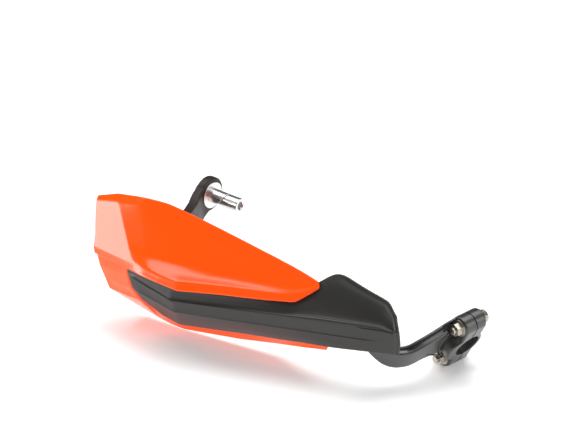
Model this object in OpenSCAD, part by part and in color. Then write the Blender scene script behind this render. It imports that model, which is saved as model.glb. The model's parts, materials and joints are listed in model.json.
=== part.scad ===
// Motorcycle hand guard for the end of a handlebar.
// X runs along the bar end towards the middle of the machine, Y towards the rider, Z up.
// The origin is the middle of the collar's face that meets the end of the bar.

/* [Overall] */
// Distance along X from the bar end to the middle of the clamp
clamp_x = 281; // [272:1:290]
// Distance of the clamp's middle in front of the bar end's axis
clamp_y = 26; // [21:1:30]
// Distance of the clamp's middle below the bar end's axis
clamp_z = 24.5; // [21:0.5:28]
// Reach of the shield in front of the bar end's axis
reach = 158; // [153:1:166]
// Height of the shield
shield_h = 112; // [108:1:118]

/* [Bar end expander] */
// Diameter of the expander, which slides into the bar
pin_d = 12.8; // [11.5:0.1:14]
// Length of the expander from the collar's face
pin_l = 31; // [28:1:40]
// Middle of the slanted cut between sleeve and wedge
cut_x = 13; // [12.8:0.1:14.5]
// Slope of the cut from square, in degrees
cut_angle = 32; // [25:1:32]
// Width of the cut
cut_gap = 0.5; // [0.3:0.1:1]
// Diameter of the collar
collar_d = 23.5; // [20:0.5:26]
// Thickness of the collar
collar_t = 1.5; // [1:0.5:4]
// Diameter of the expander screw's shank
end_screw_d = 6; // [5:0.5:7]
// Diameter of the expander screw's head
end_head_d = 10; // [9:0.5:12]
// Diameter of the washer under the expander screw's head
end_washer_d = 18; // [14:1:22]
// Thickness of that washer
end_washer_t = 1.6; // [1:0.2:3]

/* [Bow] */
// Diameter of the eye at the bar end
eye_d = 31; // [28:1:36]
// Thickness of the eye along the bar
eye_t = 8; // [7:0.5:11]
// Outer diameter of the bush in the eye
bush_d = 14; // [11:0.5:18]
// Thickness of the bow's band
band_t = 9; // [8:0.5:11]
// Height of the band at its middle
band_h = 28; // [24:1:32]
// Depth of the channel in the band's rear face
channel = 2; // [0.5:0.5:3]
// Thickness of the flat plate with the two screws
plate_t = 4; // [3:0.5:4.5]
// Height of the flat plate
plate_h = 16; // [14:1:18]
// Distance between the two shield screws
screw_gap = 69; // [64:1:74]

/* [Clamp] */
// Diameter of the clamp's bore
bore_d = 22.4; // [22:0.1:25.4]
// Width of the clamp along the bar
clamp_w = 18; // [15:0.5:20]
// Distance between the clamp's screws
bolt_gap = 41; // [39:0.5:46]
// Diameter of the clamp's screws
bolt_d = 6; // [5:0.5:6]
// Radius of the bosses around the screws
boss_r = 9.3; // [8.5:0.1:10.5]
// Depth of each clamp half at its screws
half_t = 10.5; // [9:0.5:13]
// Wall around the bore
bore_wall = 3.4; // [3:0.1:4.5]
// Radius of the rounded nose where the arm runs into the clamp
nose_r = 12; // [10:0.5:13]
// Gap between the clamp's halves
split = 0.8; // [0.4:0.2:2]
// Thickness of the arm's band
arm_t = 8.5; // [7:0.5:10]
// Thickness of the arm's flat tongue
tongue_t = 4.5; // [3:0.5:5]
// Drop of the bar at the clamp, in degrees
bar_drop = 29; // [25:1:33]
// Turn of the bar to the front at the clamp, in degrees
bar_turn = 10; // [6:1:14]

/* [Shield and trim] */
// Wall of the shield
shell_t = 3; // [2:0.2:3.4]
// Wall of the trim
trim_t = 2.6; // [2:0.1:3]
// Outer diameter of the trim's posts
post_d = 13; // [11:0.5:15]
// Wall of the shield's bosses around the posts
bush_wall = 2.2; // [1.5:0.1:3]
// Thread diameter of the shield screws
shield_screw_d = 6; // [5:0.5:6.5]
// Diameter of the shield screws' heads
shield_head_d = 11; // [9:0.5:12.5]
// Height of the shield screws' heads
shield_head_h = 3.4; // [2.5:0.1:4.5]
// Outer diameter of the threaded inserts
insert_d = 9; // [7.5:0.5:10]
// Length of the threaded inserts
insert_l = 10; // [7:0.5:11]
// Clearance between pieces that fit together
fit = 0.3; // [0.2:0.05:0.5]
// Clearance around the screws in their holes
hole_fit = 0.4; // [0.2:0.1:0.8]

/* [Hidden] */
$fn = 64;

kx = clamp_x / 281;
ky = reach / 158;
kz = shield_h / 112;
// The free-form points below are for the sizes 281, 158 and 112, and follow them
function fp(p) = [p[0] * kx, p[1] * ky, p[2] * kz];

// Small vector helpers
function unit(v) = v / max(norm(v), 1e-9);
function mixp(a, b, t) = a * (1 - t) + b * t;
function rotz(v, a) = [v[0] * cos(a) - v[1] * sin(a), v[0] * sin(a) + v[1] * cos(a), v[2]];
function roty(v, a) = [v[0] * cos(a) + v[2] * sin(a), v[1], -v[0] * sin(a) + v[2] * cos(a)];
function rotx(v, a) = [v[0], v[1] * cos(a) - v[2] * sin(a), v[1] * sin(a) + v[2] * cos(a)];
// Smooth curve through the points, with s steps between neighbours
function crv(P, s) = let (n = len(P)) concat([for (i = [0 : n - 2], k = [0 : s - 1])
    let (a = P[max(i - 1, 0)], b = P[i], c = P[i + 1], d = P[min(i + 2, n - 1)], t = k / s)
    0.5 * (2 * b + (c - a) * t + (2 * a - 5 * b + 4 * c - d) * t * t + (3 * b - a - 3 * c + d) * t * t * t)], [P[n - 1]]);

// Places of the flat plate and of the clamp
plate_at = fp([146.5, -108, 0]);
plate_turn = 15;
plate_rise = 0.5;
clamp_at = [clamp_x, -clamp_y, -clamp_z];
bolt_pitch = 2;
module plate_place() translate(plate_at) rotate([0, -plate_rise, plate_turn]) children();
module clamp_place() translate(clamp_at) rotate([bolt_pitch, bar_drop, -bar_turn]) children();
function plate_pt(p) = plate_at + rotz(roty(p, -plate_rise), plate_turn);
function plate_dir(v) = rotz(roty(v, -plate_rise), plate_turn);
function clamp_pt(p) = clamp_at + clamp_dir(p);
function clamp_dir(v) = rotz(roty(rotx(v, bolt_pitch), bar_drop), -bar_turn);
layer_t = plate_t + tongue_t;
low = 4;
end_r = 7.5;

// A closed tube from rings of equal length
module skin(R) {
    n = len(R[0]);
    m = len(R);
    polyhedron([for (r = R, p = r) p], concat([[for (i = [0 : n - 1]) i]],
        [for (j = [0 : m - 2], i = [0 : n - 1]) let (a = j * n + i, b = j * n + (i + 1) % n) each [[a, b + n, b], [a, a + n, b + n]]],
        [[for (i = [n - 1 : -1 : 0]) (m - 1) * n + i]]));
}
// Section of a band: t across, h up, with a channel of depth g in the inner face
function band_ring(p, a, b, t, h, g) = [for (q = [[t / 2 - 1.5, h / 2], [t / 2, h / 2 - 2.5], [t / 2, -h / 2 + 2.5], [t / 2 - 1.5, -h / 2],
    [-t / 2 + 1, -h / 2], [-t / 2, -h / 2 + 1], [-t / 2, -h / 2 + 3.5], [-t / 2 + g, -h / 2 + 5.5], [-t / 2 + g, h / 2 - 5.5], [-t / 2, h / 2 - 3.5],
    [-t / 2, h / 2 - 1], [-t / 2 + 1, h / 2]]) p + a * q[0] + b * q[1]];
// Section of the arm: t across, h up, with a channel of depth g in the top edge
function arm_ring(p, a, b, t, h, g) = [for (q = [[t / 2 - 1, h / 2], [t / 2, h / 2 - 1], [t / 2, -h / 2 + 1], [t / 2 - 1, -h / 2],
    [-t / 2 + 1, -h / 2], [-t / 2, -h / 2 + 1], [-t / 2, h / 2 - 1], [-t / 2 + 1, h / 2], [-t * 0.24, h / 2], [-t * 0.17, h / 2 - g],
    [t * 0.17, h / 2 - g], [t * 0.24, h / 2]]) p + a * q[0] + b * q[1]];
// Band along the path C with the up directions U and the sizes S, which are thickness, height and channel
module band(C, U, S, top = false) skin([for (i = [0 : len(C) - 1]) let (t = unit(C[min(i + 1, len(C) - 1)] - C[max(i - 1, 0)]),
    u = unit(U[i] - t * (U[i] * t)), a = cross(u, t)) top ? arm_ring(C[i], -a, u, S[i][0], S[i][1], S[i][2]) : band_ring(C[i], -a, u, S[i][0], S[i][1], S[i][2])]);
// A sheet of thickness t behind the grid G, with its normals from the grid
function nrm(G, j, i) = let (a = G[j][min(i + 1, len(G[0]) - 1)] - G[j][max(i - 1, 0)], b = G[min(j + 1, len(G) - 1)][i] - G[max(j - 1, 0)][i]) unit(cross(a, b));
function deeper(G, t) = [for (j = [0 : len(G) - 1]) [for (i = [0 : len(G[0]) - 1]) G[j][i] + nrm(G, j, i) * t]];
module sheet(G, t) {
    r = len(G);
    c = len(G[0]);
    H = deeper(G, t);
    n = r * c;
    edge = concat([for (i = [0 : c - 2]) i], [for (j = [0 : r - 2]) j * c + c - 1], [for (i = [c - 1 : -1 : 1]) (r - 1) * c + i], [for (j = [r - 1 : -1 : 1]) j * c]);
    m = len(edge);
    polyhedron(concat([for (g = G, p = g) p], [for (g = H, p = g) p]), concat(
        [for (j = [0 : r - 2], i = [0 : c - 2]) let (a = j * c + i) each [[a, a + c + 1, a + c], [a, a + 1, a + c + 1]]],
        [for (j = [0 : r - 2], i = [0 : c - 2]) let (a = n + j * c + i) each [[a, a + c, a + c + 1], [a, a + c + 1, a + 1]]],
        [for (k = [0 : m - 1]) let (a = edge[k], b = edge[(k + 1) % m]) each [[a, b + n, b], [a, a + n, b + n]]]));
}

// Bow: from the eye, round the end of the shield, to the flat plate
bow_path = [[-5.5, 0, 0], [-4.5, -14, -4.5], [1, -28, -9.5], [7, -45, -12], [10, -62, -9], [11, -80, -4.5], [14, -96, 0], [23, -108, 5], [40, -113.5, 9], [62, -115, 10.5], [86, -114.5, 10.5], [110, -112.5, 8.5]];
bow_steps = 3;
bow_line = concat([for (p = crv(bow_path, bow_steps)) fp(p)], [plate_pt([-18, -layer_t / 2, low]), plate_pt([-2, -layer_t / 2, low])]);
module bow() {
    n = len(bow_line);
    color([0.2, 0.2, 0.2]) difference() {
        union() {
            band(bow_line, [for (i = [0 : n - 1]) [0, 0, 1]], [for (i = [0 : n - 1]) let (u = i / (n - 1))
                [lookup(u, [[0, eye_t - 1], [0.12, band_t], [0.8, band_t], [1, layer_t - 0.6]]), lookup(u, [[0, eye_d - 5], [0.12, band_h - 1], [0.3, band_h + 6], [0.5, band_h + 3], [0.62, band_h], [0.75, band_h - 3], [0.85, plate_h + 4], [1, plate_h - 1]]),
                 lookup(u, [[0, 0.2], [0.12, channel], [0.7, channel], [0.9, 0.2]])]]);
            translate([-collar_t - eye_t, 0, 0]) rotate([0, 90, 0]) cylinder(d = eye_d, h = eye_t);
            plate_place() {
                translate([-6, -layer_t, low - plate_h / 2]) cube([6 + end_r, layer_t, plate_h]);
                translate([end_r - 1, -plate_t, low - plate_h / 2]) cube([screw_gap - end_r + 1, plate_t, plate_h]);
                translate([screw_gap, 0, low]) rotate([90, 0, 0]) cylinder(d = plate_h, h = plate_t);
                rotate([90, 0, 0]) cylinder(r = end_r, h = layer_t);
                translate([screw_gap, 0, 0]) rotate([90, 0, 0]) cylinder(r = end_r, h = plate_t);
            }
        }
        translate([-collar_t - eye_t - 40, 0, 0]) rotate([0, 90, 0]) cylinder(d = eye_d + 20, h = 40);
        translate([-collar_t, 0, 0]) rotate([0, 90, 0]) cylinder(d = eye_d + 20, h = 30);
        translate([-collar_t - eye_t - 1, 0, 0]) rotate([0, 90, 0]) cylinder(d = bush_d, h = eye_t + 2);
        plate_place() {
            // Room for the tongue of the arm in front of the plate
            translate([end_r - 1 + fit, -layer_t - 20, low - 40]) cube([screw_gap + 60, 20 + layer_t - plate_t, 80]);
            for (x = [0, screw_gap]) translate([x, 1, 0]) rotate([90, 0, 0]) cylinder(d = shield_screw_d + hole_fit, h = layer_t + 40);
            // Shallow panel between the screws
            translate([end_r + 6, -0.8, low - plate_h / 2 + 2.5]) cube([screw_gap - 2 * end_r - 10, 2, plate_h - 5]);
        }
        translate(fp([41, -112, 6])) rotate([90, 0, 0]) cylinder(d = 3, h = 12, center = true);
    }
}
module eye_bush() color([0.7, 0.7, 0.72]) difference() {
    translate([-collar_t - eye_t, 0, 0]) rotate([0, 90, 0]) cylinder(d = bush_d, h = eye_t);
    translate([-collar_t - eye_t - 1, 0, 0]) rotate([0, 90, 0]) cylinder(d = end_screw_d + hole_fit, h = eye_t + 2);
}

// Expander in the bar end
module end_hole(d) translate([-60, 0, 0]) rotate([0, 90, 0]) cylinder(d = d, h = 140);
module collar() color([0.8, 0.8, 0.82]) difference() {
    translate([-collar_t, 0, 0]) rotate([0, 90, 0]) cylinder(d = collar_d, h = collar_t);
    end_hole(end_screw_d + hole_fit);
}
module pin(a, b) translate([a, 0, 0]) rotate([0, 90, 0]) cylinder(d = pin_d, h = b - a);
module cutter(side) translate([cut_x + side * cut_gap / 2, 0, 0]) rotate([0, cut_angle, 0]) translate([side > 0 ? -60 : 0, -20, -40]) cube([60, 40, 80]);
module expander_sleeve() color([0.8, 0.8, 0.82]) difference() {
    pin(0, pin_l);
    cutter(-1);
    end_hole(end_screw_d + hole_fit);
}
module expander_wedge() color([0.8, 0.8, 0.82]) difference() {
    pin(0, pin_l);
    cutter(1);
    end_hole(end_screw_d + 0.1);
    translate([pin_l - 1, 0, 0]) rotate([0, 90, 0]) cylinder(d1 = end_screw_d + 0.1, d2 = end_screw_d + 2.1, h = 1.01);
}
seat_x = -collar_t - eye_t;
module expander_washer() color([0.7, 0.7, 0.72]) difference() {
    translate([seat_x - end_washer_t, 0, 0]) rotate([0, 90, 0]) cylinder(d = end_washer_d, h = end_washer_t);
    end_hole(end_screw_d + hole_fit);
}
module expander_screw() color([0.45, 0.45, 0.46]) difference() {
    translate([seat_x - end_washer_t, 0, 0]) rotate([0, 90, 0]) union() {
        cylinder(d = end_screw_d, h = pin_l - 1.5 - seat_x + end_washer_t);
        translate([0, 0, -end_screw_d]) cylinder(d = end_head_d, h = end_screw_d);
    }
    translate([seat_x - end_washer_t - end_screw_d - 1, 0, 0]) rotate([0, 90, 0]) cylinder(d = 5.8, h = end_screw_d / 2 + 1, $fn = 6);
}

// Arm from the plate to the clamp, with the front half of the clamp. It meets the clamp along its outer side, clear of the nuts
arm_shift = (arm_t - clamp_w) / 2 + 0.25;
arm_path = [[233, -93, -1.5], [244.5, -91.1, -13.7], [255.5, -85.7, -22.7], [264, -76, -24.5], [271, -63, -20.5]];
arm_line = concat([plate_pt([screw_gap + 4, -plate_t - fit / 2 - arm_t / 2 + 1.5, low - 1])], [for (p = arm_path) fp(p)],
    [clamp_pt([arm_shift, -half_t - 8, 5.5]), clamp_pt([arm_shift + 0.2, -half_t + 2.5, 5.2])]);
arm_up = concat([plate_dir([0, 0, 1])], [for (p = arm_path) clamp_dir([0, 0, 1])], [clamp_dir([0, 0, 1]), clamp_dir([0, 0, 1])]);
module arm_band() {
    s = 4;
    C = crv(arm_line, s);
    U = crv(arm_up, s);
    n = len(C);
    band(C, U, [for (i = [0 : n - 1]) let (u = i / (n - 1)) [lookup(u, [[0, tongue_t + 0.3], [0.15, arm_t], [1, arm_t]]),
        lookup(u, [[0, 12.3], [0.3, 17], [0.5, 20], [0.62, 21.5], [0.72, 23], [0.86, 34], [1, bolt_gap + 1]]),
        lookup(u, [[0, 0.2], [0.2, 2], [0.8, 2], [1, 0.5]])]], true);
}
module clamp_body(side) intersection() {
    union() {
        for (z = [-1, 1]) translate([0, 0, z * bolt_gap / 2]) rotate([90, 0, 0]) cylinder(r = boss_r, h = 2 * half_t, center = true);
        translate([-clamp_w / 2, -half_t, -bolt_gap / 2]) cube([clamp_w, 2 * half_t, bolt_gap]);
        rotate([0, 90, 0]) cylinder(d = bore_d + 2 * bore_wall, h = clamp_w, center = true);
    }
    translate([-clamp_w / 2, side > 0 ? split / 2 : -60, -60]) cube([clamp_w, 60 - split / 2, 120]);
}
module clamp_holes() {
    rotate([0, 90, 0]) cylinder(d = bore_d, h = clamp_w + 40, center = true);
    for (z = [-1, 1]) translate([0, 0, z * bolt_gap / 2]) rotate([90, 0, 0]) cylinder(d = bolt_d + hole_fit, h = 200, center = true);
}
nut_r = bolt_d * 1.18;
nut_t = bolt_d;
module clamp_arm() color([0.2, 0.2, 0.2]) difference() {
    union() {
        arm_band();
        clamp_place() {
            clamp_body(-1);
            translate([0, 3.5 - nose_r, -1]) rotate([0, 90, 0]) cylinder(r = nose_r, h = clamp_w, center = true);
        }
        plate_place() {
            translate([end_r + fit, -layer_t, low - plate_h / 2 + 1]) cube([screw_gap - end_r + 2, tongue_t - fit, plate_h - 2]);
            translate([screw_gap, -plate_t - fit, 0]) rotate([90, 0, 0]) cylinder(r = end_r, h = tongue_t - fit);
        }
    }
    clamp_place() {
        clamp_holes();
        translate([-30, -split / 2, -60]) cube([60, 100, 120]);
        // Seats of the nuts
        for (z = [-1, 1]) translate([0, -half_t, z * bolt_gap / 2]) rotate([90, 0, 0]) cylinder(r = nut_r + 0.5, h = nut_t + 6);
    }
    plate_place() {
        for (x = [0, screw_gap]) translate([x, 1, 0]) rotate([90, 0, 0]) cylinder(d = shield_screw_d + hole_fit, h = layer_t + 20);
        translate([-20, -plate_t - fit, -40]) cube([screw_gap + 20 + end_r + 2, 40, 80]);
        translate([-20, -layer_t - 40, -40]) cube([screw_gap + 20 + post_d / 2 + bush_wall + 2 * fit, 40, 80]);
    }
}
module clamp_cap() color([0.2, 0.2, 0.2]) clamp_place() difference() {
    clamp_body(1);
    clamp_holes();
}
module clamp_screw(z) color([0.75, 0.72, 0.66]) clamp_place() translate([0, half_t, z * bolt_gap / 2]) rotate([90, 0, 0]) difference() {
    union() {
        cylinder(d = bolt_d, h = 2 * half_t + nut_t + 2.5);
        translate([0, 0, -1]) cylinder(d = bolt_d * 2.3, h = 1);
        translate([0, 0, -bolt_d]) cylinder(d = bolt_d * 1.8, h = bolt_d);
    }
    translate([0, 0, -bolt_d - 1]) cylinder(d = bolt_d * 0.92, h = bolt_d * 0.6 + 1, $fn = 6);
}
module clamp_screw_upper() clamp_screw(1);
module clamp_screw_lower() clamp_screw(-1);
module clamp_nut(z) color([0.75, 0.72, 0.66]) clamp_place() translate([0, -half_t, z * bolt_gap / 2]) rotate([90, 0, 0]) difference() {
    union() {
        cylinder(r = nut_r, h = 1);
        cylinder(d = bolt_d * 1.85, h = nut_t, $fn = 6);
    }
    translate([0, 0, -1]) cylinder(d = bolt_d + 0.1, h = nut_t + 2);
}
module clamp_nut_upper() clamp_nut(1);
module clamp_nut_lower() clamp_nut(-1);

// Trim: rows from the wing's top edge down to the bottom edge, columns from left to right
trim_grid = [for (row = [
    [[39, -152.4, 9.5], [58, -153.2, 12], [89, -154, 14.5], [130, -138, 16], [170, -121, 17], [190, -101, 23], [208, -91.5, 37], [231, -89.5, 31.5], [252, -88, 26], [264, -92, 18.5]],
    [[39.2, -152.5, 8.6], [58, -153.3, 10.5], [89, -154.2, 12.5], [130, -138.6, 14], [170, -122.6, 15], [189, -107, 17], [208, -96.5, 26], [231, -94.5, 23], [253, -91.5, 19.5], [266.5, -93.5, 14]],
    [[39.4, -152.6, 7.7], [58, -153.4, 8.5], [89, -154.4, 9.5], [130, -139.2, 11], [170, -124.4, 12], [188, -116.5, 12], [208, -104.5, 15.5], [231, -100, 14.5], [254, -94, 14], [268.5, -94.5, 11.5]],
    [[39.6, -152.6, 6.8], [58, -153.5, 6], [89, -154.6, 5], [130, -140.2, 6], [170, -126.3, 8], [188, -119.6, 9], [208, -113, 10.5], [233, -104.6, 11.5], [255, -97.5, 12], [269.3, -95, 10]],
    [[40, -152.6, 5.5], [58, -153.6, 2.5], [89, -155, -2], [130, -141.2, 0.5], [170, -127.8, 3], [188, -121.5, 4], [208, -115, 5.5], [234, -106, 7], [256, -98.8, 8.5], [270, -95.2, 8]],
    [[43, -151, -8], [61, -150.6, -11], [87, -150, -14.5], [130, -136.4, -12.5], [170, -123.7, -10.5], [188, -118, -9.5], [208, -111.8, -8.5], [237, -102.6, -7], [256, -97, -5.5], [270.8, -95, -3]],
    [[47, -144, -21], [60, -135, -35], [71, -127, -43.5], [130, -116.5, -35], [170, -110.5, -29], [188, -108, -26], [208, -106, -22.8], [234, -101, -18.5], [256, -97, -14.5], [270, -95.5, -11.5]]]) [for (p = row) fp(p)]];
// The part of the trim's line that the shield follows behind it
back_cols = 7;
post_at = [plate_pt([0, -layer_t, 0]), plate_pt([screw_gap, -layer_t, 0])];
module posts(d, deep) plate_place() for (x = [0, screw_gap]) translate([x, -layer_t, 0]) rotate([90, 0, 0]) cylinder(d = d, h = deep);
// Everything behind the trim's outer face, less s
module behind_trim(s) sheet(deeper(trim_grid, s), 60);
module trim() color([0.22, 0.22, 0.22]) difference() {
    union() {
        sheet(trim_grid, trim_t);
        intersection() {
            posts(post_d, 60);
            behind_trim(1.2);
        }
    }
    plate_place() for (x = [0, screw_gap]) translate([x, -layer_t + 1, 0]) rotate([90, 0, 0]) cylinder(d = insert_d, h = insert_l + 1);
}
module insert(x) color([0.75, 0.6, 0.3]) plate_place() translate([x, -layer_t, 0]) rotate([90, 0, 0]) difference() {
    cylinder(d = insert_d, h = insert_l);
    translate([0, 0, -1]) cylinder(d = shield_screw_d + 0.1, h = insert_l + 2);
}
module insert_outer() insert(0);
module insert_inner() insert(screw_gap);
module shield_screw(x) color([0.75, 0.72, 0.66]) plate_place() translate([x, 0, 0]) rotate([90, 0, 0]) difference() {
    union() {
        cylinder(d = shield_screw_d, h = layer_t + insert_l - 1);
        translate([0, 0, -1.2]) cylinder(d = shield_head_d, h = 1.2);
        translate([0, 0, -shield_head_h]) cylinder(d1 = shield_head_d - 3, d2 = shield_head_d, h = shield_head_h - 1.2);
    }
    translate([0, 0, -shield_head_h - 1]) cylinder(d = 4.6, h = 3.2, $fn = 6);
}
module shield_screw_outer() shield_screw(0);
module shield_screw_inner() shield_screw(screw_gap);

// Shield: the upper panel's rows run from the top edge down to the edge of the lip
upper_grid = [for (row = [
    [[-12, -127, 47.5], [9, -123.5, 54.5], [33, -124, 61], [56, -118, 60], [92, -113, 53], [122, -109, 46.5], [160, -104.5, 38.5], [182, -101.7, 33.5], [195, -99.5, 28.5]],
    [[-11.5, -130, 46], [11.5, -130.4, 50.8], [34, -128.5, 57], [57, -121, 57], [93, -115.5, 50.5], [123, -111.2, 44], [160, -106.5, 36], [183, -103.2, 31], [195.5, -100.1, 27.8]],
    [[-8.3, -135.9, 35.4], [23, -137.6, 39.5], [42, -133, 44], [63, -127.5, 45], [95, -122.5, 38], [126, -117, 33.5], [160, -111, 28.5], [184, -106.5, 26], [196, -100.7, 27.2]],
    [[-5.2, -141.8, 24.7], [34.5, -144.8, 28.3], [52, -143.5, 26], [72, -140, 23.5], [98, -138, 21.5], [129, -127, 21.5], [161, -116.5, 21.5], [183, -111, 21.5], [196.3, -101.3, 26.6]],
    [[-2, -147.7, 14], [46, -152.5, 17.3], [60, -153.8, 17.7], [76, -155, 18], [95, -155, 18.5], [128, -139.5, 19], [161, -125, 19.2], [182, -115.6, 19.2], [196.6, -101.8, 26]],
    [[-0.5, -147.8, 9], [44.5, -156.5, 12], [59, -157.3, 12.5], [77, -158, 13], [97, -158, 13.2], [129, -142, 13.6], [162, -127.6, 14.2], [185, -117, 15.5], [197, -102.2, 25]]]) [for (p = row) fp(p)]];
// Lower panel: its top is in the floor of the upper panel, then it follows the trim's back
floor_mid = [for (i = [0 : len(upper_grid[0]) - 1]) mixp(upper_grid[4][i], upper_grid[3][i], 0.45) + nrm(upper_grid, 4, i) * shell_t * 0.1 + nrm(upper_grid, 3, i) * shell_t * 0.45];
function floor_at(x) = [x, lookup(x, [for (p = floor_mid) [p[0], p[1]]]), lookup(x, [for (p = floor_mid) [p[0], p[2]]])];
function back_at(j, i) = trim_grid[j][i] + nrm(trim_grid, j, i) * (trim_t + 2 * fit);
last_mix = [0, 0.5, 0.4, 0];
left_cols = [for (row = [
    [[-1.2, -147.4, 12.5], [20, -149.5, 13.5]],
    [[4, -147.8, -1.5], [22, -150, 0]],
    [[8.5, -147.4, -11], [25, -149.4, -11]],
    [[13, -147, -20.5], [28, -146.5, -21.5]]]) [for (p = row) fp(p)]];
edge_cols = [for (p = [[38, -152.3, 4.5], [41, -151, -9], [45, -144.2, -22]]) fp(p)];
free_edge = [for (p = [[13.6, -146, -21.6], [28, -123, -46], [45, -122.8, -48.6], [46, -122.8, -48.7], [56, -122.5, -50], [70, -121.5, -50.6], [122, -110.5, -46], [157, -102, -41.5], [184, -103.5, -33.8], [205, -105, -26.8]]) fp(p)];
lower_grid = concat(
    [concat(left_cols[0], [for (x = [38, 40, 58, 89, 130, 166]) floor_at(x * kx)], [fp([184, -111, 9.5]), fp([215, -108, 8])])],
    [for (k = [1 : 3]) let (j = k + 3) concat(left_cols[k], [edge_cols[k - 1]], [for (i = [0 : 5]) back_at(j, i)], [mixp(back_at(j, 6), back_at(j, 7), last_mix[k])])],
    [free_edge]);
// The trim's shape with room above its top edge
trim_room = concat([[for (i = [0 : len(trim_grid[0]) - 1]) trim_grid[0][i] + unit(trim_grid[0][i] - trim_grid[1][i]) * 2 * fit]], trim_grid);
module shield() color([1, 0.36, 0.05]) difference() {
    union() {
        sheet(upper_grid, shell_t);
        sheet(lower_grid, shell_t);
        intersection() {
            posts(post_d + 2 * (fit + bush_wall), 60);
            behind_trim(trim_t + fit);
        }
    }
    posts(post_d + 2 * fit, 80);
    sheet(deeper(trim_room, -fit), trim_t + 2 * fit);
}

bow();
eye_bush();
collar();
expander_sleeve();
expander_wedge();
expander_screw();
expander_washer();
clamp_arm();
clamp_cap();
clamp_screw_upper();
clamp_screw_lower();
clamp_nut_upper();
clamp_nut_lower();
shield();
trim();
shield_screw_outer();
shield_screw_inner();
insert_outer();
insert_inner();
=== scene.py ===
"""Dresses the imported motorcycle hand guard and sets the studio.

The moulded and cast pieces are surfaces worked out here, and the metal parts are eased copies of
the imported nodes. Lengths in the classes are in millimetres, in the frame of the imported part: X along
the bar end towards the middle of the machine, Y towards the rider, Z up. Meshes are in metres.
"""

from __future__ import annotations

import json
import logging
import math
from dataclasses import dataclass, field
from enum import Enum
from typing import Sequence

import bmesh
import bpy
import numpy as np
from mathutils import Matrix, Vector

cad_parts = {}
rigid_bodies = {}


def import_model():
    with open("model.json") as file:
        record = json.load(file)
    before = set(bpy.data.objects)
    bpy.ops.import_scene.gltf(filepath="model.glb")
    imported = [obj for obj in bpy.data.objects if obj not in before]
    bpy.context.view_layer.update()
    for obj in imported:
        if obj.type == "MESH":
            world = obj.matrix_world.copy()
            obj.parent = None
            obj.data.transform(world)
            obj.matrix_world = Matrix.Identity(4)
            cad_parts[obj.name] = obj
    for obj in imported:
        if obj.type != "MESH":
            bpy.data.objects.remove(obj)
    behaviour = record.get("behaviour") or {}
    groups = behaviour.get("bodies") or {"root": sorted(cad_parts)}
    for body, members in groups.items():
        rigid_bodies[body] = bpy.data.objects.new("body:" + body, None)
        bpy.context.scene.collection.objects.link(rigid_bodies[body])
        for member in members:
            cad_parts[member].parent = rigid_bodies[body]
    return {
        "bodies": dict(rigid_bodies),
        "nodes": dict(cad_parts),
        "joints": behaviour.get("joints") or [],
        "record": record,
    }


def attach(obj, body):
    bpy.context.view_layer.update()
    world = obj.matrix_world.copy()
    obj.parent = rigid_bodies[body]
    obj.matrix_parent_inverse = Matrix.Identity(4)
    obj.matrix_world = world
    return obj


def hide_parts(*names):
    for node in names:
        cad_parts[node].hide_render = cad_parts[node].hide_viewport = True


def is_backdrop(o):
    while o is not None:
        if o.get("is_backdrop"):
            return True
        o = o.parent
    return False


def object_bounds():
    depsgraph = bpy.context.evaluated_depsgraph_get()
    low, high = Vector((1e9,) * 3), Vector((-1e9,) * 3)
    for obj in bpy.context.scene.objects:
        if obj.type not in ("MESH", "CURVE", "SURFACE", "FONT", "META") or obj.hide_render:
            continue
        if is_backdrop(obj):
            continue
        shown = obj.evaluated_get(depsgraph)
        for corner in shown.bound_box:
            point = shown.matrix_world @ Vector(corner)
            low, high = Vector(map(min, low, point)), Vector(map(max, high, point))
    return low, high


LOG = logging.getLogger("hand_guard")
MM = 0.001
BODY = "root"
Array = np.ndarray
Point = tuple[float, float, float]
Socket = bpy.types.NodeSocket

BLURS: Array = np.array([0.0, 0.7, 1.6, 3.5, 7.0, 13.0, 24.0])  # widths in mm that soften() mixes from
EDGE_RINGS = 5  # rows of points round a wall's edge
WELD = 2e-6  # metres
FLOOR_GAP = 0.0002  # metres
FLAT, SHARP = 0.6, 32.0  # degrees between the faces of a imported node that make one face, or an edge


# ---- surfaces


def unit(v: Array) -> Array:
    """Scales the vectors on the last axis to length one."""
    return v / np.maximum(np.linalg.norm(v, axis=-1, keepdims=True), 1e-12)


def odd_blur(points: Array, sigma: float, axis: int, closed: bool = False) -> Array:
    """Takes a Gaussian mean along one axis.

    Past an open end the line goes on by point reflection, p(-s) = 2 p(0) - p(s), so the ends stay put.

    Args:
        points: Grid of points.
        sigma: Width of the mean in samples.
        axis: Axis to work along.
        closed: True where the axis runs round a loop.

    Returns:
        The smoothed grid.
    """
    if sigma < 0.05:
        return points
    p = np.moveaxis(points, axis, 0)
    reach = int(min(3 * sigma + 1, len(p) - 1))
    if closed:
        q = np.concatenate([p[-reach:], p, p[:reach]])
    else:
        q = np.concatenate([2 * p[0] - p[reach:0:-1], p, 2 * p[-1] - p[-2 : -reach - 2 : -1]])
    k = np.exp(-0.5 * (np.arange(-reach, reach + 1) / sigma) ** 2)
    k /= k.sum()
    return np.moveaxis(sum(w * q[i : i + len(p)] for i, w in enumerate(k)), 0, axis)


def soften(points: Array, radii: Array, step: float, axis: int) -> Array:
    """Rounds a grid along one axis by a width that changes from place to place.

    Several evenly blurred copies are made, and each point is mixed from the two whose widths lie
    on both sides of the wanted one.

    Args:
        points: Grid of points, rows by columns by 3.
        radii: Wanted width in mm for each point.
        step: Distance between samples in mm.
        axis: Axis to work along.

    Returns:
        The rounded grid.
    """
    stack = np.stack([odd_blur(points, width / step, axis) for width in BLURS])
    pos = np.interp(radii, BLURS, np.arange(len(BLURS)))
    low = np.floor(pos).astype(int).clip(0, len(BLURS) - 2)
    t = (pos - low)[..., None]
    j, i = np.indices(radii.shape)
    return stack[low, j, i] * (1 - t) + stack[low + 1, j, i] * t


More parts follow.
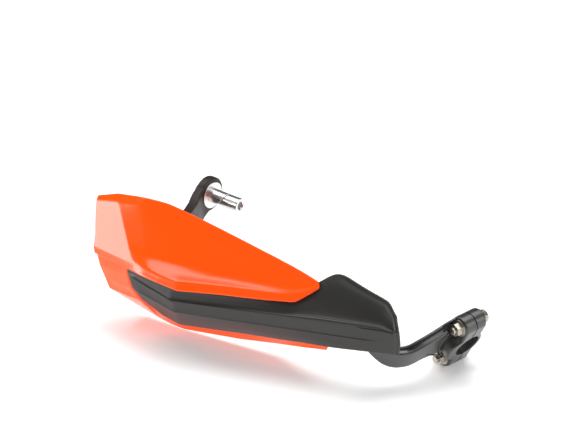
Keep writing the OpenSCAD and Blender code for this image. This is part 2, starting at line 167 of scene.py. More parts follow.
def stretch(keys: Array, at: Array, to: Array, axis: int = 0) -> Array:
    """Interpolates linearly along one axis.

    Args:
        keys: Values at the key places.
        at: The key places, rising.
        to: The wanted places.
        axis: Axis to work along.

    Returns:
        Values at the wanted places.
    """
    k = np.moveaxis(np.asarray(keys, float), axis, 0)
    i = np.searchsorted(at, to, side="right").clip(1, len(at) - 1) - 1
    t = ((to - at[i]) / (at[i + 1] - at[i])).reshape((-1,) + (1,) * (k.ndim - 1))
    return np.moveaxis(k[i] * (1 - t) + k[i + 1] * t, 0, axis)


def smooth(t: Array) -> Array:
    """Returns the smooth step t^2 (3 - 2 t) of t held between 0 and 1."""
    t = np.clip(t, 0, 1)
    return t * t * (3 - 2 * t)


@dataclass
class Net:
    """A moulded surface given by rows of key points and the softness of its creases.

    S(u, v) is the bilinear surface through the keys, with u and v in mm of mean length, blurred
    along u and v by widths that are themselves interpolated from the keys.
    """

    keys: Array
    soft_u: Array
    soft_v: Array
    step: float = 1.0
    u: Array = field(init=False)
    v: Array = field(init=False)

    def __post_init__(self) -> None:
        """Works out where the key rows and columns lie in mm."""
        self.keys = np.asarray(self.keys, float)
        sides = (np.linalg.norm(np.diff(self.keys, axis=k), axis=2).mean(1 - k) for k in (1, 0))
        self.u, self.v = (np.concatenate([[0], np.cumsum(side)]) for side in sides)

    def samples(self) -> tuple[Array, Array]:
        """Returns the sample places along u and v."""
        return tuple(np.linspace(0, w[-1], int(w[-1] / self.step) + 2) for w in (self.u, self.v))

    def spread(self, values: Array) -> Array:
        """Spreads values given at the keys over the fine grid.

        Args:
            values: Rows by columns, or rows by columns by components.

        Returns:
            The values on the fine grid.
        """
        uu, vv = self.samples()
        return stretch(stretch(values, self.v, vv), self.u, uu, axis=1)

    def surface(self) -> Array:
        """Returns the rounded grid of points."""
        along = soften(self.spread(self.keys), self.spread(self.soft_u), self.step, 1)
        return soften(along, self.spread(self.soft_v), self.step, 0)


def behind(grid: Array) -> Array:
    """Returns a grid's unit normals to its back, the cross product of right and down."""
    return unit(np.cross(np.gradient(grid, axis=1), np.gradient(grid, axis=0)))


@dataclass
class Solid:
    """A closed mesh as arrays of points in mm and of faces."""

    points: Array
    quads: Array
    tris: Array = field(default_factory=lambda: np.zeros((0, 3), int))

    def placed(self, turn: Array, move: Array) -> "Solid":
        """Turns and moves the points: turn @ p + move."""
        return Solid(self.points @ np.asarray(turn).T + np.asarray(move), self.quads, self.tris)


def shell(front: Array, thickness: float, swell: float, rear: Array | None = None) -> Solid:
    """Gives a surface its wall, with a rounded edge all round.

    The back is rear + normal * thickness. The edge at angle a runs from front to back along
    front + (back - front) * (1 - cos a) / 2 + outward * swell * thickness * sin a / 2.

    Args:
        front: Grid of points, rows by columns by 3.
        thickness: Wall in mm.
        swell: How far the edge bulges, as a share of half the wall.
        rear: Grid that the back follows, where it isn't the front.

    Returns:
        The closed wall.
    """
    base_grid = front if rear is None else rear
    n = behind(base_grid)
    back = base_grid + n * thickness
    r, c = front.shape[:2]
    ids = np.arange(r * c).reshape(r, c)
    loop = np.concatenate([ids[0, :-1], ids[:-1, -1], ids[-1, :0:-1], ids[:0:-1, 0]])
    edge, far, en = front.reshape(-1, 3)[loop], back.reshape(-1, 3)[loop], n.reshape(-1, 3)[loop]
    out = unit(np.cross(unit(np.roll(edge, -1, 0) - np.roll(edge, 1, 0)), en))
    a = np.linspace(0, math.pi, EDGE_RINGS + 2)[1:-1, None, None]
    ring = edge + (far - edge) * (1 - np.cos(a)) / 2 + out * swell * thickness * np.sin(a) / 2
    q0 = np.stack([ids[:-1, :-1], ids[1:, :-1], ids[1:, 1:], ids[:-1, 1:]], -1).reshape(-1, 4)
    m, base = len(loop), 2 * r * c
    lines = np.concatenate([loop[None], base + np.arange(EDGE_RINGS * m).reshape(-1, m), (loop + r * c)[None]])
    nxt = np.roll(lines, -1, 1)
    q2 = np.stack([lines[:-1], nxt[:-1], nxt[1:], lines[1:]], -1).reshape(-1, 4)
    points = np.concatenate([front.reshape(-1, 3), back.reshape(-1, 3), ring.reshape(-1, 3)])
    return Solid(points, np.concatenate([q0, q0[:, ::-1] + r * c, q2]))


def tube(rings: Array, closed: bool = False) -> Solid:
    """Joins rings of equal length into a skin, with a fan at each open end.

    Args:
        rings: Stations by points by 3; each ring runs anticlockwise round the direction of travel.
        closed: True where the last ring joins the first.

    Returns:
        The closed mesh.
    """
    n, m = rings.shape[:2]
    ids = np.arange(n * m).reshape(n, m)
    if closed:
        ids = np.concatenate([ids, ids[:1]])
    nxt = np.roll(ids, -1, 1)
    quads = np.stack([ids[:-1], nxt[:-1], nxt[1:], ids[1:]], -1).reshape(-1, 4)
    if closed:
        return Solid(rings.reshape(-1, 3), quads)
    points = np.concatenate([rings.reshape(-1, 3), rings[:1].mean(1), rings[-1:].mean(1)])
    first = np.stack([ids[0], np.full(m, n * m), nxt[0]], -1)
    last = np.stack([ids[-1], nxt[-1], np.full(m, n * m + 1)], -1)
    return Solid(points, quads, np.concatenate([first, last]))


def catmull(keys: Array, steps: int) -> Array:
    """Runs a Catmull-Rom curve through key points.

    Args:
        keys: Key points, or key values, on the first axis.
        steps: Samples between neighbours.

    Returns:
        The samples.
    """
    p = np.concatenate([keys[:1], keys, keys[-1:]])
    t = np.arange(steps)[None, :, None] / steps
    a, b, c, d = (p[i : len(p) - 3 + i, None] for i in range(4))
    s = 0.5 * (2 * b + (c - a) * t + (2 * a - 5 * b + 4 * c - d) * t**2 + (3 * b - a - 3 * c + d) * t**3)
    return np.concatenate([s.reshape(-1, keys.shape[-1]), keys[-1:]])


def round_section(keys: Array, count: int, radius: float) -> Array:
    """Resamples closed polygons evenly and rounds their corners.

    Args:
        keys: Stations by corners by 2.
        count: Samples on each.
        radius: Width of the rounding in mm.

    Returns:
        Stations by samples by 2.
    """
    mean = keys.mean(0)
    step = np.linalg.norm(np.roll(mean, -1, 0) - mean, axis=1)
    at = np.concatenate([[0], np.cumsum(step)])
    wrapped = np.concatenate([keys, keys[:, :1]], 1)
    places = np.linspace(0, at[-1], count, endpoint=False)
    return odd_blur(stretch(wrapped, at, places, axis=1), radius * count / at[-1], 1, closed=True)


def stations(corners: Sequence[tuple[Array, Array]]) -> Array:
    """Stacks corners, each a pair of arrays over the stations, into stations by corners by 2."""
    return np.stack([np.stack(corner, -1) for corner in corners], 1)


def sweep(path: Array, up: Array, section: Array, dome: float = 0.8, shrink: float = 0.12) -> Solid:
    """Carries a section along a path.

    A ring's point is path + side * q0 + up * q1, where side is up x travel. The ends close over a
    short dome, whose rings shrink by shrink * (1 - cos a) and move on by dome * sin a.

    Args:
        path: Stations by 3.
        up: Up directions, stations by 3.
        section: Stations by points by 2, anticlockwise.
        dome: Height of the domed ends in mm.
        shrink: Share of its size that the last ring loses.

    Returns:
        The closed band.
    """
    t = unit(np.gradient(path, axis=0))
    u = unit(up - t * (up * t).sum(-1, keepdims=True))
    side = np.cross(u, t)
    rings = path[:, None] + side[:, None] * section[..., :1] + u[:, None] * section[..., 1:]
    a = np.linspace(0, math.pi / 2, 5)[1:-1, None, None]

    def cap(ring: Array, way: Array) -> Array:
        """Returns the shrinking rings of one end."""
        mid = ring.mean(0)
        return mid + (ring - mid)[None] * (1 - shrink * (1 - np.cos(a))) + way * dome * np.sin(a)

    return tube(np.concatenate([cap(rings[0], -t[0])[::-1], rings, cap(rings[-1], t[-1])]))


def lathe(profile: Array, count: int = 96) -> Solid:
    """Turns a closed profile about X: (x, r cos a, r sin a).

    Args:
        profile: Points (x, r), with x rising along the outside.
        count: Steps round the axis.

    Returns:
        The closed ring.
    """
    a = np.linspace(0, 2 * math.pi, count, endpoint=False)[:, None]
    x, r = profile[None, :, 0] + 0 * a, profile[None, :, 1]
    rings = np.stack([x, r * np.cos(a), r * np.sin(a)], -1)
    return tube(rings[:, ::-1], closed=True)


def outward(outline: Array) -> Array:
    """Returns the unit normals of a closed anticlockwise outline that point away from it."""
    tangent = unit(np.roll(outline, -1, 0) - np.roll(outline, 1, 0))
    return np.stack([tangent[:, 1], -tangent[:, 0]], -1)


def pad(outline: Array, profile: Array) -> Solid:
    """Builds a low pad with shaped edges.

    Ring k is the outline moved in by profile[k, 0], at the height profile[k, 1].

    Args:
        outline: Closed anticlockwise outline, points by 2.
        profile: Rows of (inset, height), from the bottom to the top.

    Returns:
        The closed pad.
    """
    flat = outline[None] - outward(outline)[None] * profile[:, None, :1]
    height = np.broadcast_to(profile[:, None, 1:], (*flat.shape[:2], 1))
    return tube(np.concatenate([flat, height], -1))


def slot_outline(x0: float, x1: float, radius: float) -> Array:
    """Draws two half circles joined by straight sides.

    Args:
        x0: Middle of the left half circle.
        x1: Middle of the right one.
        radius: Their radius.

    Returns:
        The anticlockwise outline, points by 2.
    """
    a = np.linspace(-math.pi / 2, math.pi / 2, 48)
    right = np.stack([x1 + radius * np.cos(a), radius * np.sin(a)], -1)
    left = np.stack([x0 - radius * np.cos(a), -radius * np.sin(a)], -1)
    return np.concatenate([right, left])


def half_chord(radius: float, at: Array, least: float = 0.0) -> Array:
    """Returns sqrt(radius^2 - at^2), with what is under the root no lower than least."""
    return np.sqrt(np.maximum(radius**2 - at**2, least))


def turn(axis: int, degrees: float) -> Array:
    """Works out the matrix of a right-hand turn.

    Args:
        axis: 0 for X, 1 for Y, 2 for Z.
        degrees: The angle.

    Returns:
        The 3 by 3 matrix.
    """
    c, s = math.cos(math.radians(degrees)), math.sin(math.radians(degrees))
    m = np.eye(3)
    i, j = [(1, 2), (2, 0), (0, 1)][axis]
    m[i, i] = m[j, j] = c
    m[i, j], m[j, i] = -s, s
    return m


# ---- finishes


COAT_ROUGHNESS = 0.08
CLOUD_SCALE, CLOUD_DETAIL = 22.0, 3.0  # of the broad variation in colour
GRAIN_DETAIL = 4.0
GLOSS_SPREAD = 0.14  # share by which the roughness varies
RELIEF_DEPTH = 0.0004  # metres
TURNED_STRETCH = (6.0, 0.05, 0.05)  # draws the noise out into rings


def empty_tree(owner: bpy.types.ID) -> bpy.types.NodeTree:
    """Turns on the nodes of a material or a world.

    Args:
        owner: The material or world.

    Returns:
        Its tree, emptied.
    """
    owner.use_nodes = True
    owner.node_tree.nodes.clear()
    return owner.node_tree


def mixed(tree: bpy.types.NodeTree, *sources: Socket) -> Socket:
    """Mixes two shaders.

    Args:
        tree: The tree that they are in.
        sources: The factor, the shader at 0 and the shader at 1.

    Returns:
        The mix's output.
    """
    mix = tree.nodes.new("ShaderNodeMixShader")
    for source, target in zip(sources, mix.inputs):
        tree.links.new(source, target)
    return mix.outputs[0]


class Grain(Enum):
    """How the fine relief of a finish runs: alike in every direction, or in rings round X."""

    EVEN = "even"
    TURNED = "turned"


@dataclass(frozen=True)
class Finish:
    """A procedural finish: colour, gloss and fine relief, all read from Object coordinates."""

    name: str
    slot: str
    color: tuple[float, float, float]
    roughness: float
    grain: Grain = Grain.EVEN
    metallic: float = 0.0
    specular: float = 0.5
    coat: float = 0.0
    relief: float = 0.05
    scale: float = 900.0
    tint: float = 0.06

    def material(self) -> bpy.types.Material:
        """Builds the finish, or finds it.

        Returns:
            The material.
        """
        if self.name in bpy.data.materials:
            return bpy.data.materials[self.name]
        mat = bpy.data.materials.new(self.name)
        tree = empty_tree(mat)
        nodes, links = tree.nodes, tree.links
        out = nodes.new("ShaderNodeOutputMaterial")
        bsdf = nodes.new("ShaderNodeBsdfPrincipled")
        links.new(bsdf.outputs[0], out.inputs[0])
        levels = {
            "Metallic": self.metallic, "Specular IOR Level": self.specular,
            "Coat Weight": self.coat, "Coat Roughness": COAT_ROUGHNESS}
        for socket, level in levels.items():
            bsdf.inputs[socket].default_value = level
        coord = nodes.new("ShaderNodeTexCoord")
        mapping = nodes.new("ShaderNodeMapping")
        links.new(coord.outputs["Object"], mapping.inputs["Vector"])
        if self.grain is Grain.TURNED:
            mapping.inputs["Scale"].default_value = TURNED_STRETCH

        def noise(scale: float, detail: float) -> bpy.types.Node:
            """Adds a noise on the mapped coordinates.

            Args:
                scale: How fine it is.
                detail: How many octaves it adds.

            Returns:
                Its node.
            """
            n = nodes.new("ShaderNodeTexNoise")
            n.inputs["Scale"].default_value, n.inputs["Detail"].default_value = scale, detail
            links.new(mapping.outputs[0], n.inputs["Vector"])
            return n

        broad, fine = noise(CLOUD_SCALE, CLOUD_DETAIL), noise(self.scale, GRAIN_DETAIL)
        ramp = nodes.new("ShaderNodeMix")
        ramp.data_type = "RGBA"
        base = np.array(self.color)
        for socket, share in (("A", 1 - self.tint), ("B", 1 + self.tint)):
            ramp.inputs[socket].default_value = (*np.clip(base * share, 0, 1), 1)
        links.new(broad.outputs["Fac"], ramp.inputs["Factor"])
        links.new(ramp.outputs["Result"], bsdf.inputs["Base Color"])
        rough = nodes.new("ShaderNodeMapRange")
        rough.inputs["To Min"].default_value = self.roughness * (1 - GLOSS_SPREAD)
        rough.inputs["To Max"].default_value = self.roughness * (1 + GLOSS_SPREAD)
        links.new(fine.outputs["Fac"], rough.inputs["Value"])
        links.new(rough.outputs["Result"], bsdf.inputs["Roughness"])
        bump = nodes.new("ShaderNodeBump")
        bump.inputs["Strength"].default_value = self.relief
        bump.inputs["Distance"].default_value = RELIEF_DEPTH
        links.new(fine.outputs["Fac"], bump.inputs["Height"])
        links.new(bump.outputs["Normal"], bsdf.inputs["Normal"])
        return mat


SHIELD = Finish(
    "orange_moulding", "shield_plastic", (1.0, 0.078, 0.0), 0.22,
    specular=0.42, coat=0.05, relief=0.02, scale=240.0, tint=0.02)
TRIM = Finish("charcoal_moulding", "trim_plastic", (0.018, 0.017, 0.016), 0.42, relief=0.1, scale=1500.0)
BOW = Finish(
    "charcoal_bow", "bow_plastic", (0.022, 0.016, 0.014), 0.45,
    specular=0.35, relief=0.1, scale=1300.0)
ARM = Finish("coated_alloy", "arm_alloy", (0.025, 0.025, 0.024), 0.32, specular=0.9, relief=0.12)
BRIGHT = Finish(
    "bright_turned", "expander_metal", (0.76, 0.75, 0.74), 0.32, Grain.TURNED,
    metallic=1.0, relief=0.04, scale=500.0, tint=0.03)
STEEL = Finish("turned_steel", "steel", (0.62, 0.62, 0.62), 0.28, Grain.TURNED, metallic=1.0, scale=420.0)
DARK_STEEL = Finish("oiled_steel", "dark_steel", (0.16, 0.16, 0.165), 0.34, metallic=1.0, scale=800.0)
ZINC = Finish("warm_zinc", "zinc_steel", (0.46, 0.43, 0.37), 0.34, metallic=1.0, scale=500.0, tint=0.1)
BRASS = Finish("turned_brass", "brass", (0.75, 0.55, 0.24), 0.3, Grain.TURNED, metallic=1.0, scale=420.0)


# ---- pieces


def linked(name: str, data: bpy.types.ID) -> bpy.types.Object:
    """Puts data into the scene.

    Args:
        name: Name of the object.
        data: Its mesh, lamp or camera.

    Returns:
        The new object.
    """
    obj = bpy.data.objects.new(name, data)
    bpy.context.scene.collection.objects.link(obj)
    return obj


def dressed(name: str, mesh: bpy.types.Mesh, finish: Finish, node: str, sharp: float) -> bpy.types.Object:
    """Makes a mesh a piece with a finish that rides on the body and stands for a node.

    Args:
        name: Name of the piece.
        mesh: Its mesh.
        finish: Its finish.
        node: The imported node.
        sharp: Edges sharper than this many degrees stay sharp.

    Returns:
        The new object.
    """
    mesh.name = name
    mesh.materials.clear()
    mesh.materials.append(finish.material())
    mesh.shade_smooth()
    mesh.set_sharp_from_angle(angle=math.radians(sharp))
    obj = linked(name, mesh)
    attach(obj, BODY)
    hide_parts(node)
    LOG.info("%s: %d faces, for %s", name, len(mesh.polygons), node)
    return obj


def new_mesh(parts: Sequence[Solid]) -> bpy.types.Mesh:
    """Writes closed meshes into one.

    Args:
        parts: The closed meshes, in mm.

    Returns:
        The mesh, in metres.
    """
    at = np.cumsum([0] + [len(p.points) for p in parts])
    points = np.concatenate([p.points for p in parts]) * MM
    q = np.concatenate([p.quads + n for p, n in zip(parts, at)])
    t = np.concatenate([p.tris + n for p, n in zip(parts, at)])
    mesh = bpy.data.meshes.new("piece")
    mesh.vertices.add(len(points))
    mesh.vertices.foreach_set("co", points.astype(np.float32).ravel())
    mesh.loops.add(q.size + t.size)
    mesh.loops.foreach_set("vertex_index", np.concatenate([q.ravel(), t.ravel()]).astype(np.int32))
    mesh.polygons.add(len(q) + len(t))
    start = np.concatenate([np.arange(len(q)) * 4, q.size + np.arange(len(t)) * 3])
    mesh.polygons.foreach_set("loop_start", start.astype(np.int32))
    mesh.update(calc_edges=True)
    mesh.validate()
    return mesh


def eased_copy(name: str, source: bpy.types.Object, finish: Finish, width: float) -> None:
    """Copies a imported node, joins its triangles and eases its edges.

    Args:
        name: Name of the piece.
        source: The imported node's object.
        finish: Its finish.
        width: Width of the eased edges in mm.
    """
    mesh = source.data.copy()
    bm = bmesh.new()
    bm.from_mesh(mesh)
    bmesh.ops.remove_doubles(bm, verts=bm.verts, dist=WELD)
    bmesh.ops.dissolve_limit(bm, angle_limit=math.radians(FLAT), verts=bm.verts, edges=bm.edges)
    bm.to_mesh(mesh)
    bm.free()
    bevel = dressed(name, mesh, finish, source.name, SHARP).modifiers.new("eased", "BEVEL")
    bevel.width = width * MM
    bevel.segments = 2
    bevel.limit_method = "ANGLE"
    bevel.angle_limit = math.radians(SHARP)
    bevel.use_clamp_overlap = True
    bevel.harden_normals = True


@dataclass
class Places:
    """Places of the flat plate and of the clamp, and sizes that several pieces share."""

    plate_at: Point = (146.5, -108.0, 0.0)
    plate_turn: Array = field(default_factory=lambda: turn(2, 15) @ turn(1, -0.5))
    clamp_at: Point = (281.0, -26.0, -24.5)
    clamp_turn: Array = field(default_factory=lambda: turn(2, -10) @ turn(1, 29) @ turn(0, 2))
    screw_gap: float = 69.0  # between the shield's screws
    plate_t: float = 4.0
    layer_t: float = 8.5  # plate and tongue together
    low: float = 4.0  # the plate's middle line over the screws
    half_t: float = 10.5  # from the clamp's split to the flat face of a half
    bolt_gap: float = 41.0  # between the clamp's screws

    def plate(self, p: Sequence[float]) -> Array:
        """Returns a point given in the plate's own frame."""
        return self.plate_at + self.plate_turn @ np.array(p, float)

    def clamp(self, p: Sequence[float]) -> Array:
        """Returns a point given in the clamp's own frame."""
        return self.clamp_at + self.clamp_turn @ np.array(p, float)

    def laid(self, solid: Solid, y: float, z: float) -> Solid:
        """Lays a pad against the plate's XZ plane, with its height towards the rider.

        Its Y and Z change places, so its faces are turned round as well.

        Args:
            solid: The pad, drawn flat.
            y: Where its foot lies in the plate's frame.
            z: Height of its middle line there.

        Returns:
            The pad in its place.
        """
        swapped = Solid(solid.points[:, [0, 2, 1]], solid.quads[:, ::-1], solid.tris[:, ::-1])
        return swapped.placed(self.plate_turn, self.plate([0, y, z]))

    def posts(self, radius: float, bore: float, depths: Sequence[float]) -> list[Solid]:
        """Builds a hollow post for each of the shield's screws, from the tongue to the front.

        Args:
            radius: Their outer radius.
            bore: The radius of their holes.
            depths: Length of the outer and of the inner post.

        Returns:
            The two closed posts.
        """
        ease, made = 0.5, []
        for x, deep in zip((0.0, self.screw_gap), depths):
            profile = [[0, bore], [0, radius - ease], [ease, radius], [deep, radius], [deep, bore]]
            ring = lathe(round_section(np.array([profile], float), 60, 0.25)[0], 64)
            made.append(ring.placed(self.plate_turn @ turn(2, -90), self.plate([x, -self.layer_t, 0])))
        return made


TRIM_WALL = 2.6

# rows from top to bottom, each from the left to the right
TRIM_KEYS: Array = np.array([
    [[39, -152.4, 9.5], [58, -153.2, 12], [89, -154, 14.5], [130, -138, 16], [170, -121, 17],
     [190, -101, 23], [207.5, -91.5, 39.5], [231, -89.5, 32], [254.5, -88, 27], [264.5, -92, 18.5]],
    [[39.2, -152.5, 8.6], [58, -153.3, 10.5], [89, -154.2, 12.5], [130, -138.6, 14], [170, -122.6, 15],
     [189, -107, 17], [208, -96.5, 26], [231, -94.5, 23], [253, -91.5, 19.5], [266.5, -93.5, 14]],
    [[39.4, -152.6, 7.7], [58, -153.4, 8.5], [89, -154.4, 9.5], [130, -139.2, 11], [170, -124.4, 12],
     [188, -116.5, 12], [208, -104.5, 15.5], [231, -100, 14.5], [254, -94, 14], [268.5, -94.5, 11.5]],
    [[39.6, -152.6, 6.8], [58, -153.5, 6], [89, -154.6, 5], [130, -140.2, 6], [170, -126.3, 8],
     [188, -119.6, 9], [208, -113, 10.5], [233, -104.6, 11.5], [255, -97.5, 12], [269.3, -95, 10]],
    [[40, -152.6, 5.5], [58, -153.6, 2.5], [89, -155, -2], [130, -141.2, 0.5], [170, -127.8, 3],
     [188, -121.5, 4], [208, -115, 5.5], [234, -106, 7], [256, -98.8, 8.5], [270, -95.2, 8]],
    [[43, -151, -8], [61, -150.6, -11], [87, -150, -14.5], [130, -136.4, -12.5], [170, -123.7, -10.5],
     [188, -118, -9.5], [208, -111.8, -8.5], [237, -102.6, -7], [256, -97, -5.5], [270.8, -95, -3]],
    [[47, -144, -21], [60, -135, -35], [71, -127, -43.5], [130, -116.5, -35], [170, -110.5, -29],
     [188, -108, -26], [208, -106, -22.8], [234, -101, -18.5], [256, -97, -14.5], [270, -95.5, -11.5]],
], float)

UPPER_KEYS: Array = np.array([
    [[-14, -127, 48.5], [5, -123.5, 55], [33, -124, 61], [56, -118, 60], [92, -113, 53],
     [122, -109, 46.5], [160, -104.5, 38.5], [182, -101.7, 33.5], [195, -99.5, 28.5]],
    [[-13.6, -130, 46], [10.5, -130, 53], [34, -128.5, 57], [57, -121, 57], [93, -115.5, 50.5],
     [123, -111.2, 44], [160, -106.5, 36], [183, -103.2, 31], [195.5, -100.1, 27.8]],
    [[-9.8, -135.9, 35.4], [23, -137.6, 39.5], [42, -133, 44], [63, -127.5, 45], [95, -122.5, 38],
     [126, -117, 33.5], [160, -111, 28.5], [184, -106.5, 26], [196, -100.7, 27.2]],
    [[-5.2, -141.8, 24.7], [34.5, -144.8, 28.3], [52, -143.5, 26], [72, -140, 23.5], [98, -138, 21.5],
     [129, -127, 21.5], [161, -116.5, 21.5], [183, -111, 21.5], [196.3, -101.3, 26.6]],
    [[-2, -147.7, 14], [46, -152.5, 17.3], [60, -153.8, 17.7], [76, -155, 18], [95, -155, 18.5],
     [128, -139.5, 19], [161, -125, 19.2], [182, -115.6, 19.2], [196.6, -101.8, 26]],
    [[-0.5, -148.8, 9], [44.5, -154.3, 10.9], [59, -157.3, 12.5], [77, -158, 13], [97, -158, 13.2],
     [129, -142, 13.6], [162, -127.6, 14.2], [185, -117, 15.5], [197, -102.2, 25]],
], float)


@dataclass
class Trim:
    """The dark stepped trim with the wing."""

    places: Places
    wall: float = TRIM_WALL
    flare: float = 2.2
    lap: float = 0.9
    rise: float = 0.6
    roll: float = 0.7
    rim: float = 0.9
    post_r: float = 6.5
    post_bore: float = 4.6
    post_deep: tuple[float, float] = (13.5, 5.5)

    def net(self) -> Net:
        """Sets the softness: crisp folds at the left and along the ridges, a soft hollow in the wing.

        Returns:
            The trim's surface before its bands lean.
        """
        soft_u = np.full(TRIM_KEYS.shape[:2], 7.0)
        soft_u[:, 2] = 0.9
        soft_u[:, :2] = 1.5
        soft_u[:, -2:] = 2.0
        soft_v = np.full(TRIM_KEYS.shape[:2], 1.2)
        soft_v[1:4, 5:] = 4.0
        soft_v[4, :] = 0.7
        soft_v[5, :] = 0.9
        soft_v[4, 8:] = 2.0
        return Net(TRIM_KEYS, soft_u, soft_v)

    def faces(self) -> tuple[Array, Array]:
        """Gives the bands their lean, and the ridges and the wing's edges their rolls.

        A band leans like a board that laps over the next. The first flares forward by flare. The
        upper edge of each lower one lies lap behind the plain face, and its lower edge rise before
        it. Just above a ridge at v0 the face rolls forward by roll * exp(-((v - v0 + 1) / 0.8)^2),
        and along the wing's free edges by rim * exp(-((d - 1) / 1.1)^2) at the distance d.

        Returns:
            The outer face, and the plain face that the wall's back follows.
        """
        net = self.net()
        uu, vv = net.samples()
        upper, lower = net.v[4], net.v[5]
        fine = np.unique(np.concatenate([vv] + [row + np.linspace(-2.4, 2.0, 23) for row in (upper, lower)]))
        plain = stretch(net.surface(), vv, fine)
        long_fade, short_fade = (net.u[8], net.u[9] + 6), (net.u[7] + 6, net.u[8] - 2)
        left, drop = smooth(uu / 10), 0.25
        flare = np.array([0, -0.16, -0.45, -1]) * self.flare
        bands = (
            ([upper - 12, upper - 6, upper - 3, upper - drop], flare, long_fade),
            ([upper - drop, upper + drop, lower - drop], [0, self.lap, -self.rise], long_fade),
            ([lower - drop, lower + drop, lower + 13], [0, self.lap * 0.6, 0], short_fade),
        )
        depth = np.zeros((len(fine), len(uu)))
        for at, lean, (u0, u1) in bands:
            depth += left * smooth((u1 - uu) / (u1 - u0)) * np.interp(fine, at, lean, left=0, right=0)[:, None]
        for row, (u0, u1) in ((upper, long_fade), (lower, short_fade)):
            fade = left * np.clip((u1 - uu) / (u1 - u0), 0, 1)
            depth -= fade * self.roll * np.exp(-(((fine - row + 1.0) / 0.8) ** 2))[:, None]
        wing = np.clip((uu - net.u[6]) / 12, 0, 1)
        inward = np.minimum((fine - fine[0])[:, None], uu[-1] - uu)
        depth -= wing * self.rim * np.exp(-(((inward - 1.0) / 1.1) ** 2))
        return plain + behind(plain) * depth[..., None], plain

    def build(self) -> None:
        """Builds the trim."""
        front, plain = self.faces()
        posts = self.places.posts(self.post_r, self.post_bore, self.post_deep)
        panel = shell(front, self.wall, 0.5, rear=plain)
        dressed("trim_moulding", new_mesh([panel, *posts]), TRIM, "trim", 180)


@dataclass
class Shield:
    """The orange shield: an upper panel with a dish and a lower panel behind the trim."""

    places: Places
    wall: float = 2.8
    gap: float = 0.3
    boss_r: float = 9.0
    boss_bore: float = 6.8
    boss_deep: tuple[float, float] = (12.0, 2.5)

    def upper(self) -> Array:
        """Shapes the upper panel: a flat facet at the left, a soft dish and a crisp lip.

        Returns:
            Its outer face.
        """
        soft_u = np.full(UPPER_KEYS.shape[:2], 13.0)
        soft_u[:, :2] = 0.8
        soft_u[1:4, 2] = 4.5
        soft_u[1:4, 3] = 9.0
        soft_u[0, 2:4] = 5.0
        soft_u[4:, 2:] = 4.0
        soft_u[4:, 4] = 1.6
        soft_u[4:, 7] = 1.6
        soft_v = np.full(UPPER_KEYS.shape[:2], 5.0)
        soft_v[:, :2] = 0.9
        soft_v[1, 2:] = 1.6
        soft_v[2, 2:] = 11.0
        soft_v[2, 2] = 5.0
        soft_v[3, 2:] = 4.5
        soft_v[4] = 0.8
        soft_u[0, 0] = soft_v[0, 0] = 2.2
        return Net(UPPER_KEYS, soft_u, soft_v).surface()

    def lower_keys(self) -> Array:
        """Works out the lower panel's key points.

        Its top runs inside the upper panel's floor, and below that it follows the trim's back.

        Returns:
            Rows by columns by 3.
        """
        n = behind(UPPER_KEYS)
        floor = UPPER_KEYS[4] * 0.55 + UPPER_KEYS[3] * 0.45 + n[4] * 0.3 + n[3] * 1.35
        x = np.array([38, 40, 58, 89, 130, 166], float)
        inner = np.stack([x, *(np.interp(x, floor[:, 0], floor[:, k]) for k in (1, 2))], -1)
        back = TRIM_KEYS + behind(TRIM_KEYS) * (TRIM_WALL + 2 * self.gap)
        left = np.array([
            [[-1.2, -145.9, 10], [20, -148, 11]],
            [[4, -147.8, -1.5], [22, -150, 0]],
            [[8.5, -147.4, -11], [25, -149.4, -11]],
            [[13, -147, -20.5], [28, -146.5, -21.5]]], float)
        step = np.array([[38, -152.3, 4.5], [41, -151, -9], [45, -144.2, -22]], float)
        foot = np.array([
            [13.6, -146, -21.6], [28, -123, -46], [45, -122.8, -48.6], [46, -122.8, -48.7], [56, -122.5, -50],
            [70, -121.5, -50.6], [122, -110.5, -46], [157, -102, -41.5], [184, -103.5, -33.8],
            [205, -105, -26.8]], float)
        rows = [np.concatenate([left[0], inner, [[184, -111, 9.5], [215, -108, 8]]])]
        for k, share in enumerate((0.5, 0.4, 0.0)):
            last = back[k + 4, 6] * (1 - share) + back[k + 4, 7] * share
            rows.append(np.concatenate([left[k + 1], step[k : k + 1], back[k + 4, :6], last[None]]))
        return np.stack([*rows, foot])

    def lower(self) -> Array:
        """Shapes the lower panel, with crisp facets.

        Returns:
            Its outer face.
        """
        keys = self.lower_keys()
        soft_u = np.full(keys.shape[:2], 2.5)
        soft_u[:, 1:4] = 0.7
        return Net(keys, soft_u, np.full(keys.shape[:2], 0.8)).surface()

    def build(self) -> None:
        """Builds the shield."""
        bosses = self.places.posts(self.boss_r, self.boss_bore, self.boss_deep)
        panels = [shell(self.upper(), self.wall, 0.5), shell(self.lower(), self.wall, 0.3)]
        dressed("shield_panels", new_mesh([*panels, *bosses]), SHIELD, "shield", 60)


